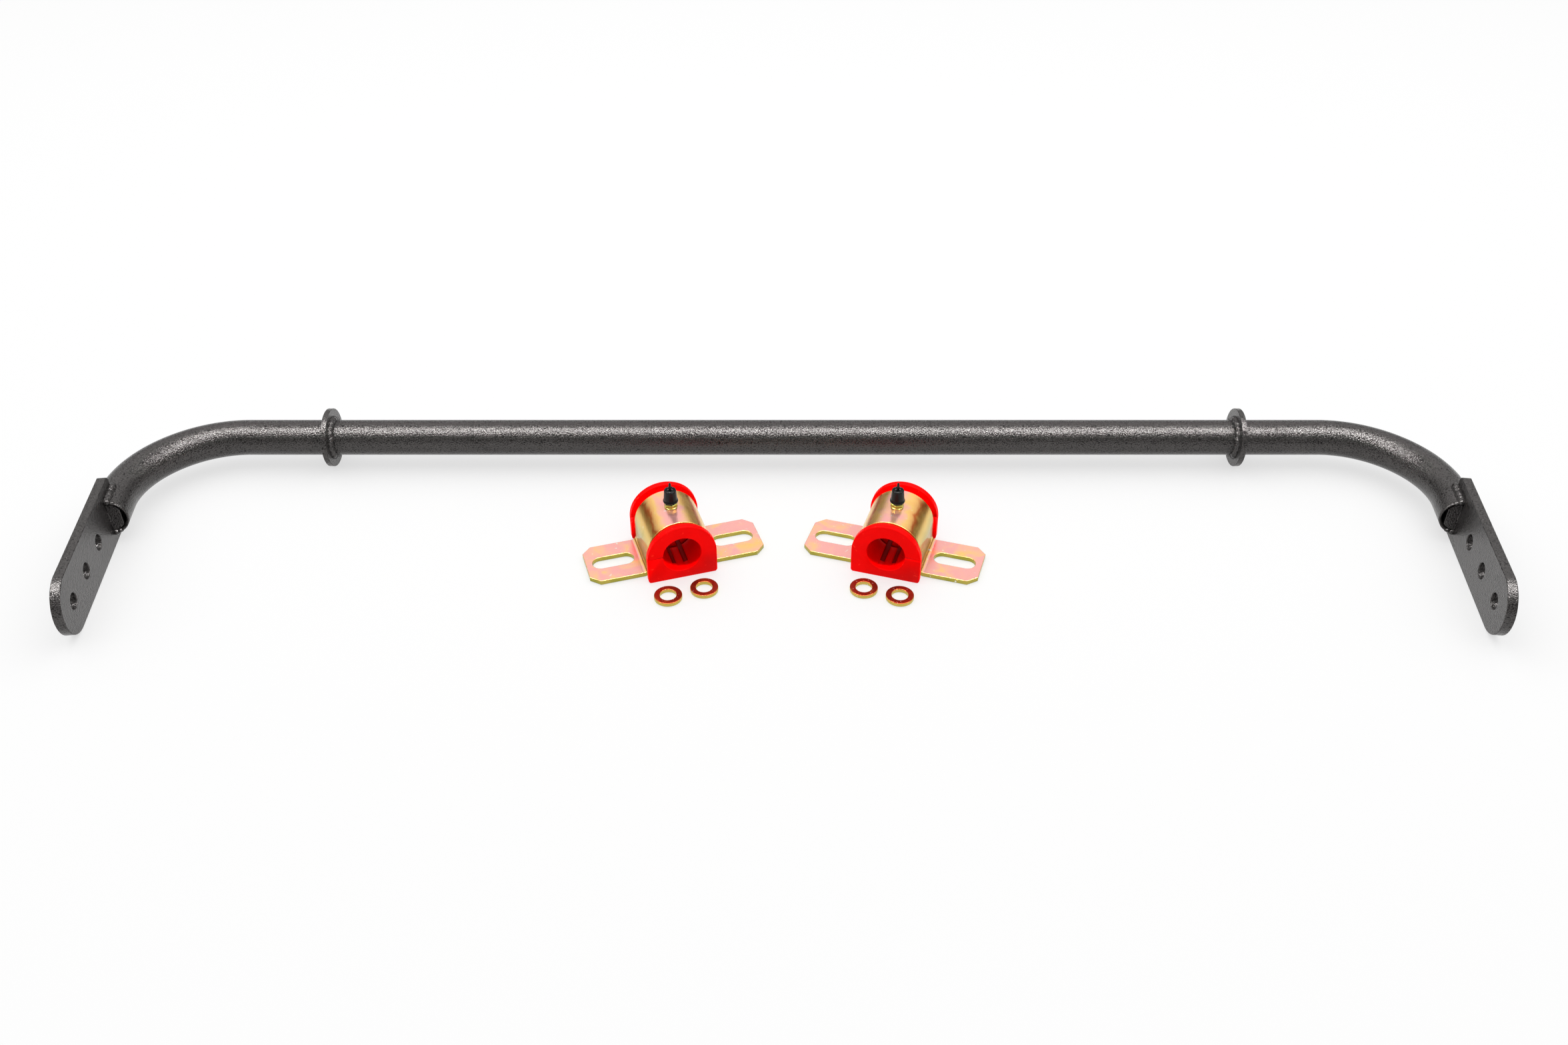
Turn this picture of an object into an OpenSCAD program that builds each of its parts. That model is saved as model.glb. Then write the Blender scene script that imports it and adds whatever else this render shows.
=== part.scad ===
// Hollow rear sway bar laid out with its two greasable bushings, saddle brackets and washers.
// The bar lies on its collars and end plates, and the loose pieces stand in front of it.

/* [Bar] */
// Outer diameter of the bar tube
bar_d = 25.4; // [22:0.1:28]
// Wall thickness of the bar tube
bar_wall = 2.4; // [1.6:0.1:4]
// Distance from the middle of the bar to the start of each bend
bend_start = 387; // [360:1:450]
// Centreline radius of each bend
bend_r = 69; // [55:1:90]
// Angle by which each arm leans inwards towards its tip, in degrees
toe = 7.9; // [0:0.1:12]
// Straight length of tube after each bend
arm_l = 20.5; // [16:0.5:26]

/* [Collars] */
// Outer diameter of each locating collar
collar_d = 42; // [38:0.5:48]
// Thickness of each collar
collar_t = 3.8; // [2.5:0.1:6]
// Distance from the middle of the bar to the inner face of each collar
collar_x = 326.4; // [290:0.1:330]
// Leg length of the weld that holds each collar
collar_weld_leg = 2.6; // [1.5:0.1:4]

/* [End plates] */
// Thickness of each end plate
plate_t = 6.35; // [4:0.05:9]
// Diameter of each end link hole
link_hole_d = 10.5; // [8:0.1:13]
// Distance from the end of the bend to the first end link hole
link_hole_start = 47.3; // [42:0.1:60]
// Distance between end link holes
link_hole_gap = 30.3; // [20:0.1:36]
// Thickness of the flat bar that fills the mouth of the tube beside the plate
insert_t = 8.4; // [4:0.1:9]
// Radius of the welds between plate and tube
plate_weld_r = 3.4; // [2:0.1:5]

/* [Bushings] */
// Length of each bushing
bushing_l = 53.8; // [44:0.1:60]
// Thickness of the lip at each end of a bushing
lip_t = 4; // [2:0.1:6]
// Half of the width of a bushing across its lips
lip_r = 23.2; // [22.5:0.1:26]
// Height of the bore above the base
bore_z = 18.6; // [17:0.1:20]
// Radial running clearance of the bar in the bore
bore_gap = 0.05; // [0.01:0.01:0.1]
// Width of each grease groove in the bore
groove_w = 3; // [2:0.5:6]
// Length of the two grooves that run along the bore
groove_l = 38; // [20:1:44]
// Angle from the bottom of the bore to each of them
groove_turn = 20; // [15:1:40]
// Depth of each grease groove
groove_depth = 1.2; // [0.5:0.1:2]
// Width of the slit that lets the bushing open over the bar
slit_w = 0.5; // [0.2:0.1:1]

/* [Brackets] */
// Sheet thickness of each bracket
sheet_t = 3.2; // [2:0.1:3.2]
// Width of the strap
strap_w = 38; // [24:0.1:40]
// Half of the length across both ears
ear_reach = 59.4; // [56:0.1:66]
// Size of the chamfer at each ear corner
ear_chamfer = 6.1; // [2:0.1:8]
// Inside radius of the saddle
saddle_r = 18.3; // [17.5:0.1:18.6]
// Height of the centre of the saddle's arch
arch_z = 17.2; // [16:0.1:18]
// Inside radius of the bend between saddle and ear
fold_r = 3; // [1:0.1:4]
// Distance from the middle of the bracket to the middle of each slot
slot_x = 41.1; // [40:0.1:42]
// Length of each slot, end to end
slot_l = 27.9; // [14:0.1:28]
// Width of each slot
slot_w = 11.7; // [8:0.1:13]

/* [Grease fittings] */
// Distance across the flats of each hexagon
hex_af = 8; // [7:0.1:10]
// Height of each hexagon
hex_h = 3.3; // [2:0.1:5]
// Diameter of the screwed shank
shank_d = 6; // [5:0.1:8]
// Diameter of the round head that takes the grease gun
head_d = 6.5; // [6:0.1:7]
// Diameter of the check ball
ball_d = 2.4; // [2:0.1:2.5]

/* [Dust caps] */
// Diameter of a cap at the bottom of its skirt
cap_d = 10; // [9:0.1:12]
// Diameter of a cap at its top
cap_top_d = 8; // [7.6:0.1:9]
// Height of a cap without its nib
cap_h = 9; // [8:0.1:12]
// Height of the nib above the cap
nib_h = 5.5; // [2:0.1:8]

/* [Washers] */
// Outer diameter of each washer
washer_d = 18.3; // [16:0.1:22]
// Hole diameter of each washer
washer_hole_d = 10.7; // [8:0.1:12]
// Thickness of each washer
washer_t = 2.8; // [1.5:0.1:4]

/* [Layout] */
// Distance from the middle plane to each bushing
bushing_x = 74.2; // [72:0.1:140]
// Distance of each bushing in front of the bar
bushing_front = 109.8; // [90:0.1:115]
// Angle by which each bushing is turned outwards, in degrees
bushing_turn = 17.5; // [0:0.5:25]
// Distance from the middle plane to each outer washer
outer_washer_x = 74.7; // [72:0.1:140]
// Distance of each outer washer in front of the bar
outer_washer_front = 157; // [157:0.1:170]
// Distance from the middle plane to each inner washer
inner_washer_x = 51.8; // [20:0.1:52]
// Distance of each inner washer in front of the bar
inner_washer_front = 149; // [149:0.1:170]

/* [Hidden] */
$fn = 96;

paint = [0.27, 0.27, 0.28];
zinc = [0.86, 0.68, 0.42];
urethane = [0.86, 0.04, 0.04];
steel = [0.70, 0.70, 0.72];
soft_black = [0.06, 0.06, 0.06];
lap = 1; // how far cutters run past the solids they cut

// Bar and arms. The end plates are as wide as the collars, so that the bar lies flat.
bar_r = bar_d / 2;
tube_bore_r = bar_r - bar_wall;
swage = 0.1; // how much the straight end of each arm is opened out
swage_lap = 1;
arm_r = bar_r + swage;
collar_r = collar_d / 2;
plate_w = collar_d;
plate_start = 0.5;
last_hole = link_hole_start + 2 * link_hole_gap;
plate_tip = last_hole + plate_w / 2;
mouth_depth = 2;
mouth_r = bar_r - 1.2;
insert_l = 18;
insert_set_back = 0.3;
tip_reach = bend_r + bend_r * sin(toe) + plate_tip * cos(toe) + plate_t * sin(toe);

// The origin is below the middle of the whole kit, on the surface that it lies on.
bar_y = (tip_reach - collar_r) / 2;
bar_z = collar_r;

// Bushing and bracket
bore_r = bar_r + bore_gap;
neck_r = saddle_r - 0.3;
saddle_outer_r = saddle_r + sheet_t;
crown_z = arch_z + saddle_outer_r;
pocket = [12, 10];
shank_bottom = crown_z - 6.4;
shank_hole_r = shank_d / 2 + 0.2;
slit_length = lip_r + lap;

// Grease fitting: heights above the crown of the bracket
collar_of_hex_h = 0.8;
throat_z = hex_h + 1.4;
head_z = hex_h + 4.4;
duct_r = 0.8;
chamber_r = ball_d / 2 + 0.1;
chamber_top = head_z + 0.2;
ball_z = chamber_top - ball_d / 2 - 0.05;
spring_coils = 4;
spring_wire_r = 0.2;
spring_r = chamber_r - spring_wire_r - 0.05;
spring_bottom = -1.5;
spring_top = ball_z - 1;
steps_per_coil = 12;
wire_sides = 6;

// Dust cap: heights above the crown of the bracket
cap_z = hex_h + 1.2;
cap_hole_r = head_d / 2 + 0.15;
cap_hole_h = 6.6;
cap_dish_r = cap_top_d / 2 - 1;
cap_dish_h = 1.2;
skirt_h = 2;
nib_r = 0.9;

module at_bar_centre() {
    translate([0, bar_y, bar_z]) children();
}

// Puts +X along the bar.
module along_bar() {
    at_bar_centre() rotate([0, 90, 0]) children();
}

// On the axis that the left bend turns about.
module at_left_bend() {
    at_bar_centre() translate([-bend_start, -bend_r, 0]) children();
}

// At the end of the left bend: +X points to the tip of the arm and +Y to the middle of the car.
module on_left_arm() {
    at_left_bend() rotate([0, 0, toe]) translate([-bend_r, 0, 0]) rotate([0, 0, -90]) children();
}

// On the base of the left bushing: +X along the ears and +Y away from the washers.
module on_left_base() {
    translate([-bushing_x, bar_y - bushing_front, 0])
        rotate([0, 0, bushing_turn])
            children();
}

module on_left_crown() {
    on_left_base() translate([0, 0, crown_z]) children();
}

module to_right() {
    mirror([1, 0, 0]) children();
}

// The path of the tube as one solid of radius r, its arms running on by extra.
module tube_path(r, extra = 0) {
    along_bar() translate([0, 0, -bend_start]) cylinder(r = r, h = 2 * bend_start);
    for (side = [0, 1]) mirror([side, 0, 0]) {
        at_left_bend() rotate([0, 0, 90])
            rotate_extrude(angle = 90 + toe) translate([bend_r, 0]) circle(r = r);
        on_left_arm()
            translate([-swage_lap, 0, 0])
                rotate([0, 90, 0])
                    cylinder(r = r + swage, h = swage_lap + arm_l + extra);
    }
}

// The outer half of the tube end is cut away, so that the plate lies on the tube's middle plane.
module plate_seat() {
    on_left_arm() translate([plate_start, -bar_d, -bar_d]) cube([bar_d * 2, bar_d, bar_d * 2]);
}

module mouth_chamfer() {
    on_left_arm()
        translate([arm_l - mouth_depth, 0, 0])
            rotate([0, 90, 0])
                cylinder(r1 = tube_bore_r + swage, r2 = mouth_r, h = mouth_depth);
}

module bar_tube() {
    color(paint) difference() {
        tube_path(bar_r);
        tube_path(tube_bore_r, lap);
        for (side = [0, 1]) mirror([side, 0, 0]) {
            plate_seat();
            mouth_chamfer();
        }
    }
}

module left_collar() {
    color(paint) along_bar() translate([0, 0, -collar_x - collar_t]) difference() {
        cylinder(r = collar_r, h = collar_t);
        translate([0, 0, -lap]) cylinder(r = bar_r, h = collar_t + 2 * lap);
    }
}

// A round-faced bead in the corner between the tube and the collar's inner face.
module left_collar_weld() {
    color(paint)
        along_bar()
            translate([0, 0, -collar_x])
                rotate_extrude()
                    translate([bar_r, 0])
                        intersection() {
                            circle(r = collar_weld_leg);
                            square(collar_weld_leg);
                        }
}

module left_end_plate() {
    color(paint) on_left_arm() rotate([90, 0, 0]) linear_extrude(plate_t) difference() {
        union() {
            translate([plate_start, -plate_w / 2]) square([last_hole - plate_start, plate_w]);
            translate([last_hole, 0]) circle(d = plate_w);
        }
        for (n = [0 : 2])
            translate([link_hole_start + n * link_hole_gap, 0]) circle(d = link_hole_d);
    }
}

module left_end_insert() {
    color(paint) on_left_arm() intersection() {
        rotate([0, 90, 0]) cylinder(r = tube_bore_r, h = arm_l);
        translate([arm_l - insert_set_back - insert_l, 0, -bar_r]) cube([insert_l, insert_t, bar_d]);
    }
}

// Beads above and below the tube, in the corner between it and the face of the plate.
module left_plate_weld() {
    color(paint) on_left_arm() difference() {
        for (side = [-1, 1])
            translate([plate_start + 1, 0, side * bar_r])
                rotate([0, 90, 0])
                    cylinder(r = plate_weld_r, h = arm_l - plate_start - 1);
        translate([-lap, 0, 0]) rotate([0, 90, 0]) cylinder(r = arm_r, h = arm_l + 2 * lap);
        translate([-lap, -bar_r, -bar_d]) cube([arm_l + 2 * lap, bar_r, 2 * bar_d]);
    }
}

// An arch of radius r on straight legs, standing on the base line.
module arch_outline(r) {
    intersection() {
        translate([0, arch_z]) circle(r = r);
        translate([-r, arch_z]) square([2 * r, r]);
    }
    translate([-r, 0]) square([2 * r, arch_z]);
}

// Turns an outline upright and extrudes it to both sides of the middle of the bushing.
module upright(length) {
    translate([0, length / 2, 0]) rotate([90, 0, 0]) linear_extrude(length) children();
}

// A groove round the bore, two along its lower side, and a pocket under the grease fitting.
module bore_grooves() {
    groove_r = bore_r + groove_depth;
    translate([0, groove_w / 2, bore_z]) rotate([90, 0, 0]) cylinder(r = groove_r, h = groove_w);
    for (side = [-1, 1])
        translate([0, 0, bore_z])
            rotate([0, side * groove_turn, 0])
                translate([-groove_w / 2, -groove_l / 2, -groove_r])
                    cube([groove_w, groove_l, bore_r]);
    translate([-pocket.x / 2, -pocket.y / 2, bore_z]) cube([pocket.x, pocket.y, groove_r]);
}

module left_bushing() {
    color(urethane) on_left_base() difference() {
        union() {
            upright(bushing_l) arch_outline(neck_r);
            for (side = [-1, 1])
                translate([0, side * (bushing_l - lip_t) / 2, 0]) upright(lip_t) arch_outline(lip_r);
        }
        upright(bushing_l + 2 * lap) translate([0, bore_z]) circle(r = bore_r);
        bore_grooves();
        translate([-slit_length, -bushing_l / 2 - lap, bore_z - slit_w / 2])
            cube([slit_length, bushing_l + 2 * lap, slit_w]);
        translate([0, 0, bore_z]) cylinder(r = shank_hole_r, h = crown_z);
    }
}

// One side of the bracket's sheet: leg, fold and ear.
module leg_and_ear() {
    fold_outer_r = fold_r + sheet_t;
    translate([saddle_r, fold_outer_r]) square([sheet_t, arch_z - fold_outer_r]);
    intersection() {
        translate([saddle_outer_r + fold_r, fold_outer_r]) difference() {
            circle(r = fold_outer_r);
            circle(r = fold_r);
        }
        translate([saddle_r, 0]) square(fold_outer_r);
    }
    translate([saddle_outer_r + fold_r, 0])
        square([ear_reach - saddle_outer_r - fold_r, sheet_t]);
}

module bracket_outline() {
    difference() {
        translate([0, arch_z]) circle(r = saddle_outer_r);
        translate([0, arch_z]) circle(r = saddle_r);
        translate([-2 * saddle_r, arch_z - 2 * saddle_r]) square([4 * saddle_r, 2 * saddle_r]);
    }
    for (side = [0, 1]) mirror([side, 0]) leg_and_ear();
}

module slot() {
    run = (slot_l - slot_w) / 2;
    for (end = [-run, run]) translate([end, 0, -lap]) cylinder(d = slot_w, h = sheet_t + 2 * lap);
    translate([-run, -slot_w / 2, -lap]) cube([2 * run, slot_w, sheet_t + 2 * lap]);
}

module corner_cut() {
    translate([ear_reach, strap_w / 2, -lap])
        rotate([0, 0, 45])
            translate([-ear_chamfer / sqrt(2), -ear_chamfer * 2, 0])
                cube([ear_chamfer * 2, ear_chamfer * 4, sheet_t + 2 * lap]);
}

module left_bracket() {
    color(zinc) on_left_base() difference() {
        upright(strap_w) bracket_outline();
        for (side = [-1, 1]) translate([side * slot_x, 0, 0]) slot();
        for (x = [0, 1]) mirror([x, 0, 0])
            for (y = [0, 1]) mirror([0, y, 0]) corner_cut();
        translate([0, 0, arch_z]) cylinder(d = shank_d, h = saddle_outer_r + lap);
    }
}

module left_grease_fitting() {
    neck_d = 4.6;
    color(zinc) on_left_crown() difference() {
        union() {
            translate([0, 0, shank_bottom - crown_z]) cylinder(d = shank_d, h = crown_z - shank_bottom);
            cylinder(d = hex_af, h = collar_of_hex_h);
            translate([0, 0, collar_of_hex_h])
                cylinder(d = hex_af / cos(30), h = hex_h - collar_of_hex_h, $fn = 6);
            translate([0, 0, hex_h]) cylinder(d = neck_d, h = throat_z - hex_h + 0.6);
            translate([0, 0, throat_z]) cylinder(d1 = neck_d, d2 = head_d, h = 1.4);
            translate([0, 0, throat_z + 1.4]) cylinder(d = head_d, h = 1.2);
            translate([0, 0, throat_z + 2.6]) cylinder(d1 = head_d, d2 = neck_d - 1.4, h = 1.8);
        }
        translate([0, 0, shank_bottom - crown_z - lap]) cylinder(r = duct_r, h = 3 * head_z);
        translate([0, 0, spring_bottom]) cylinder(r = chamber_r, h = chamber_top - spring_bottom);
    }
}

module left_check_ball() {
    color(steel) on_left_crown() translate([0, 0, ball_z]) sphere(d = ball_d);
}

// One ring of points around the wire, at the given turn of the coil.
function wire_ring(turn, rise) = [
    for (n = [0 : wire_sides - 1])
        let (a = 360 * n / wire_sides, r = spring_r + spring_wire_r * cos(a))
            [r * cos(360 * turn), r * sin(360 * turn), rise * turn + spring_wire_r * sin(a)]
];

module left_check_spring() {
    rise = (spring_top - spring_bottom - 2 * spring_wire_r) / spring_coils;
    steps = spring_coils * steps_per_coil;
    rings = [for (n = [0 : steps]) wire_ring(n / steps_per_coil, rise)];
    skin = [
        for (n = [0 : steps - 1], k = [0 : wire_sides - 1])
            let (next = (k + 1) % wire_sides, here = n * wire_sides, there = here + wire_sides)
                [here + k, there + k, there + next, here + next]
    ];
    first_cap = [[for (k = [0 : wire_sides - 1]) k]];
    last_cap = [[for (k = [wire_sides - 1 : -1 : 0]) steps * wire_sides + k]];
    color(steel) on_left_crown() translate([0, 0, spring_bottom + spring_wire_r])
        polyhedron([for (ring = rings, p = ring) p], concat(skin, first_cap, last_cap));
}

module left_dust_cap() {
    color(soft_black) on_left_crown() translate([0, 0, cap_z]) difference() {
        union() {
            cylinder(d = cap_d, h = skirt_h);
            translate([0, 0, skirt_h]) cylinder(d1 = cap_d - 0.8, d2 = cap_top_d, h = cap_h - skirt_h);
            translate([0, 0, cap_h - cap_dish_h - 0.5]) cylinder(r = nib_r, h = nib_h + cap_dish_h + 0.5);
        }
        translate([0, 0, -lap]) cylinder(r = cap_hole_r, h = cap_hole_h + lap);
        difference() {
            translate([0, 0, cap_h - cap_dish_h]) cylinder(r = cap_dish_r, h = cap_dish_h + lap);
            translate([0, 0, cap_h - cap_dish_h - lap]) cylinder(r = nib_r, h = cap_dish_h + 3 * lap);
        }
    }
}

module washer() {
    color(zinc) difference() {
        cylinder(d = washer_d, h = washer_t);
        translate([0, 0, -lap]) cylinder(d = washer_hole_d, h = washer_t + 2 * lap);
    }
}

module left_outer_washer() {
    translate([-outer_washer_x, bar_y - outer_washer_front, 0]) washer();
}

module left_inner_washer() {
    translate([-inner_washer_x, bar_y - inner_washer_front, 0]) washer();
}

bar_tube();
left_collar();
to_right() left_collar();  // right_collar
left_collar_weld();
to_right() left_collar_weld();  // right_collar_weld
left_end_plate();
to_right() left_end_plate();  // right_end_plate
left_end_insert();
to_right() left_end_insert();  // right_end_insert
left_plate_weld();
to_right() left_plate_weld();  // right_plate_weld
left_bushing();
to_right() left_bushing();  // right_bushing
left_bracket();
to_right() left_bracket();  // right_bracket
left_grease_fitting();
to_right() left_grease_fitting();  // right_grease_fitting
left_check_ball();
to_right() left_check_ball();  // right_check_ball
left_check_spring();
to_right() left_check_spring();  // right_check_spring
left_dust_cap();
to_right() left_dust_cap();  // right_dust_cap
left_outer_washer();
to_right() left_outer_washer();  // right_outer_washer
left_inner_washer();
to_right() left_inner_washer();  // right_inner_washer
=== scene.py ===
"""Looks of a hollow rear sway bar, laid out with its bushings, brackets, grease fittings and washers.

Every piece is modelled in millimetres on the left side, placed, and mirrored for the right side.
"""
import math

import bmesh
import bpy
from mathutils import Matrix, Vector


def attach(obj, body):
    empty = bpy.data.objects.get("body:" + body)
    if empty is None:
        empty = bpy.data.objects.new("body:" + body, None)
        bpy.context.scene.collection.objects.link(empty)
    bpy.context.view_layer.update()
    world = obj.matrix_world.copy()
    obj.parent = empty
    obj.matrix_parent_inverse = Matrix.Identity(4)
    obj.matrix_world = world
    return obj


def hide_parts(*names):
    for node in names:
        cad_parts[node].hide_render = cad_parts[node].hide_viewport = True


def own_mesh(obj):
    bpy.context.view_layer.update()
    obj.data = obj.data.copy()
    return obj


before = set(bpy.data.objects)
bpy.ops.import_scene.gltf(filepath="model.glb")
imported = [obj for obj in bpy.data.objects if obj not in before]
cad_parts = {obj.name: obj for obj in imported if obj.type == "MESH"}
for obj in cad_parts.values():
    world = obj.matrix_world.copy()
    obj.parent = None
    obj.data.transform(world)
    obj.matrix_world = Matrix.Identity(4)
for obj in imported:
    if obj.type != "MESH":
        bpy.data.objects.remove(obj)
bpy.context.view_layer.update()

MM = 0.001

# Bar
BAR_R = 12.7
BAR_WALL = 2.4
BAR_Y = 93.0166
BAR_Z = 21.0
BEND_START = 387
BEND_R = 69
TOE = 7.9
ARM_L = 20.5
PLATE_START = 0.5
MOUTH_R = 11.5
MOUTH_DEPTH = 2

# Collars
COLLAR_R = 21
COLLAR_T = 3.8
COLLAR_X = 326.4

# End plates
PLATE_T = 6.35
PLATE_W = 42
LINK_HOLES = (47.3, 77.6, 107.9)
LINK_HOLE_R = 5.25
INSERT_T = 8.4
INSERT_L = 18
INSERT_START = 2.2

# Bushings
BUSHING_X = 74.2
BUSHING_FRONT = 109.8
BUSHING_TURN = 17.5
BUSHING_L = 53.8
LIP_T = 4
LIP_R = 23.2
NECK_R = 18.0
ARCH_Z = 17.2
FOOT_R = 1.8
NECK_LIFT = 0.4
BORE_R = 12.75
BORE_Z = 18.6
GROOVE_W = 3
GROOVE_L = 38
GROOVE_TURN = 20
GROOVE_SPAN = 7.5
GROOVE_DEPTH = 1.2
POCKET_L = 10
POCKET_SPAN = 27.5
SLIT_W = 0.15

# Brackets
SHEET_T = 3.2
STRAP_W = 38
EAR_REACH = 59.4
EAR_CHAMFER = 6.1
SADDLE_R = 18.3
FOLD_R = 3
SLOT_X = 41.1
SLOT_L = 27.9
SLOT_W = 11.7
CROWN_Z = ARCH_Z + SADDLE_R + SHEET_T

# Grease fittings and caps, above the crown of the bracket
HEX_AF = 8
HEX_H = 3.3
FLANGE_H = 0.8
CAP_Z = 4.5
SPRING_FOOT = -1.5
SPRING_TOP = 5.65
SPRING_R = 1.05
SPRING_WIRE_R = 0.2
SPRING_COILS = 4

# Washers
WASHER_R = 9.15
WASHER_HOLE_R = 5.35
WASHER_T = 2.8
OUTER_WASHER = (-74.7, BAR_Y - 157)
INNER_WASHER = (-51.8, BAR_Y - 149)

TO_METRES = Matrix.Scale(MM, 4)
TO_RIGHT = Matrix.Scale(-1, 4, (1, 0, 0))
SIDES = {"left": Matrix.Identity(4), "right": TO_RIGHT}


def shift(x, y, z):
    return Matrix.Translation((x, y, z))


def turn(degrees, axis):
    return Matrix.Rotation(math.radians(degrees), 4, axis)


AT_BAR = shift(0, BAR_Y, BAR_Z)
AT_LEFT_COLLAR = AT_BAR @ shift(-COLLAR_X, 0, 0) @ turn(-90, "Y")
AT_LEFT_BEND = AT_BAR @ shift(-BEND_START, -BEND_R, 0)
ON_LEFT_ARM = AT_LEFT_BEND @ turn(TOE, "Z") @ shift(-BEND_R, 0, 0) @ turn(-90, "Z")
ON_LEFT_BASE = shift(-BUSHING_X, BAR_Y - BUSHING_FRONT, 0) @ turn(BUSHING_TURN, "Z")
ON_LEFT_CROWN = ON_LEFT_BASE @ shift(0, 0, CROWN_Z)


# ---------------------------------------------------------------- wires and shapes

def line_to(bm, vert, point):
    """Joins vert to a new vertex at point and returns it."""
    end = bm.verts.new(point)
    bm.edges.new((vert, end))
    return end


def arc_to(bm, vert, centre, axis, degrees, steps):
    """Turns vert about centre, leaving an arc of edges, and returns the vertex at its end."""
    made = bmesh.ops.spin(
        bm, geom=[vert], cent=centre, axis=axis, angle=math.radians(degrees), steps=steps
    )
    return next(v for v in made["geom_last"] if isinstance(v, bmesh.types.BMVert))


def edges_between(bm, verts):
    chosen = set(verts)
    return [edge for edge in bm.edges if chosen.issuperset(edge.verts)]


def edges_of(bm, faces):
    """The edges of some faces, in the order of the mesh, so that every run cuts them alike."""
    chosen = {edge for face in faces for edge in face.edges}
    return [edge for edge in bm.edges if edge in chosen]


def circle(bm, radius, segments, place):
    """A ring of edges."""
    ring = bmesh.ops.create_circle(bm, cap_ends=False, segments=segments, radius=radius, matrix=place)
    return edges_between(bm, ring["verts"])


def fill(bm, edges):
    """Fills the flat area between closed wires."""
    bmesh.ops.triangle_fill(bm, use_beauty=True, use_dissolve=False, edges=edges)


def sweep_edges(bm, edges, offset):
    """Extrudes a wire along offset and returns its new edges."""
    made = bmesh.ops.extrude_edge_only(bm, edges=edges)["geom"]
    verts = [item for item in made if isinstance(item, bmesh.types.BMVert)]
    bmesh.ops.translate(bm, verts=verts, vec=offset)
    return edges_between(bm, verts)


def thicken(bm, faces, offset):
    """Makes a closed slab of flat faces."""
    made = bmesh.ops.extrude_face_region(bm, geom=faces)["geom"]
    verts = [item for item in made if isinstance(item, bmesh.types.BMVert)]
    bmesh.ops.translate(bm, verts=verts, vec=offset)


def close_up(bm, reach=0.002):
    """Merges doubles and turns every face outwards."""
    bmesh.ops.remove_doubles(bm, verts=bm.verts, dist=reach)
    bmesh.ops.recalc_face_normals(bm, faces=bm.faces)
    if bm.calc_volume(signed=True) < 0:
        bmesh.ops.reverse_faces(bm, faces=bm.faces)


def sharp_edges(bm, degrees=35):
    limit = math.radians(degrees)
    return [e for e in bm.edges if len(e.link_faces) == 2 and e.calc_face_angle() > limit]


def round_edges(bm, edges, width, segments=3):
    bmesh.ops.bevel(
        bm, geom=edges, offset=width, offset_type="OFFSET", affect="EDGES",
        segments=segments, profile=0.5, material=-1, clamp_overlap=True,
    )


def turned(bm, outline, segments=64):
    """Spins (radius, height) points about Z. An outline that ends off the axis is closed."""
    verts = [bm.verts.new((radius, 0, height)) for radius, height in outline]
    edges = [bm.edges.new(pair) for pair in zip(verts, verts[1:])]
    if outline[-1][0] > 0:
        edges.append(bm.edges.new((verts[-1], verts[0])))
    bmesh.ops.spin(
        bm, geom=verts + edges, cent=(0, 0, 0), axis=(0, 0, 1),
        angle=math.tau, steps=segments, use_merge=True,
    )
    close_up(bm)


def lump(bm, centre, size, stretch=(1, 1, 1)):
    """One drop of a weld."""
    place = shift(*centre) @ Matrix.Diagonal((*stretch, 1))
    bmesh.ops.create_uvsphere(bm, u_segments=14, v_segments=9, radius=size, matrix=place)


# ---------------------------------------------------------------- finishing

def finish_piece(name, bm, place, finishes, body, node):
    """Turns a shape in millimetres into a piece that stands for a CAD node."""
    bm.transform(TO_METRES @ place)
    if place.determinant() < 0:
        bmesh.ops.reverse_faces(bm, faces=bm.faces)
    mesh = bpy.data.meshes.new(name)
    bm.to_mesh(mesh)
    bm.free()
    mesh.shade_smooth()
    for finish in finishes:
        mesh.materials.append(finish)
    piece = bpy.data.objects.new(name, mesh)
    bpy.context.scene.collection.objects.link(piece)
    even = piece.modifiers.new("even_shading", "WEIGHTED_NORMAL")
    even.keep_sharp = True
    even.weight = 80
    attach(piece, body)
    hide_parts(node)
    return piece


def make_pair(part, build, place, finishes, body):
    """Builds the left piece and its mirror image, and returns both. body may hold {side}."""
    pair = {}
    for side, mirror in SIDES.items():
        bm = bmesh.new()
        build(bm)
        node = f"{side}_{part}"
        pair[side] = finish_piece(
            f"{node}_look", bm, mirror @ place, finishes, body.format(side=side), node
        )
    return pair


# ---------------------------------------------------------------- bar

def on_tube_end(point):
    return point.x > PLATE_START and point.x < ARM_L + 1 and abs(point.y) < BAR_R + 1


def crosses_wall(edge, to_arm):
    """Whether an edge runs through the wall of the tube, from its inside to its outside."""
    radii = [math.hypot(*(to_arm @ vert.co).yz) for vert in edge.verts]
    return min(radii) < BAR_R - 0.5 < max(radii)


def seat_cut(bm, arm):
    """Cuts away the outer half of a tube end, where the plate lies, and closes the wall again."""
    to_arm = arm.inverted()
    end_faces = [f for f in bm.faces if on_tube_end(to_arm @ f.calc_center_median())]
    end_edges = edges_of(bm, end_faces)
    touched = {vert for edge in end_edges for vert in edge.verts}
    end_verts = [v for v in bm.verts if v in touched and (to_arm @ v.co).x > PLATE_START + 0.1]
    bmesh.ops.bisect_plane(
        bm, geom=end_faces + end_edges + end_verts, dist=0.01,
        plane_co=arm.translation, plane_no=arm.to_3x3() @ Vector((0, -1, 0)), clear_outer=True,
    )
    open_edges = [e for e in bm.edges if e.is_boundary]
    walls = [e for e in open_edges if not crosses_wall(e, to_arm)]
    bmesh.ops.bridge_loops(bm, edges=walls)


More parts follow.
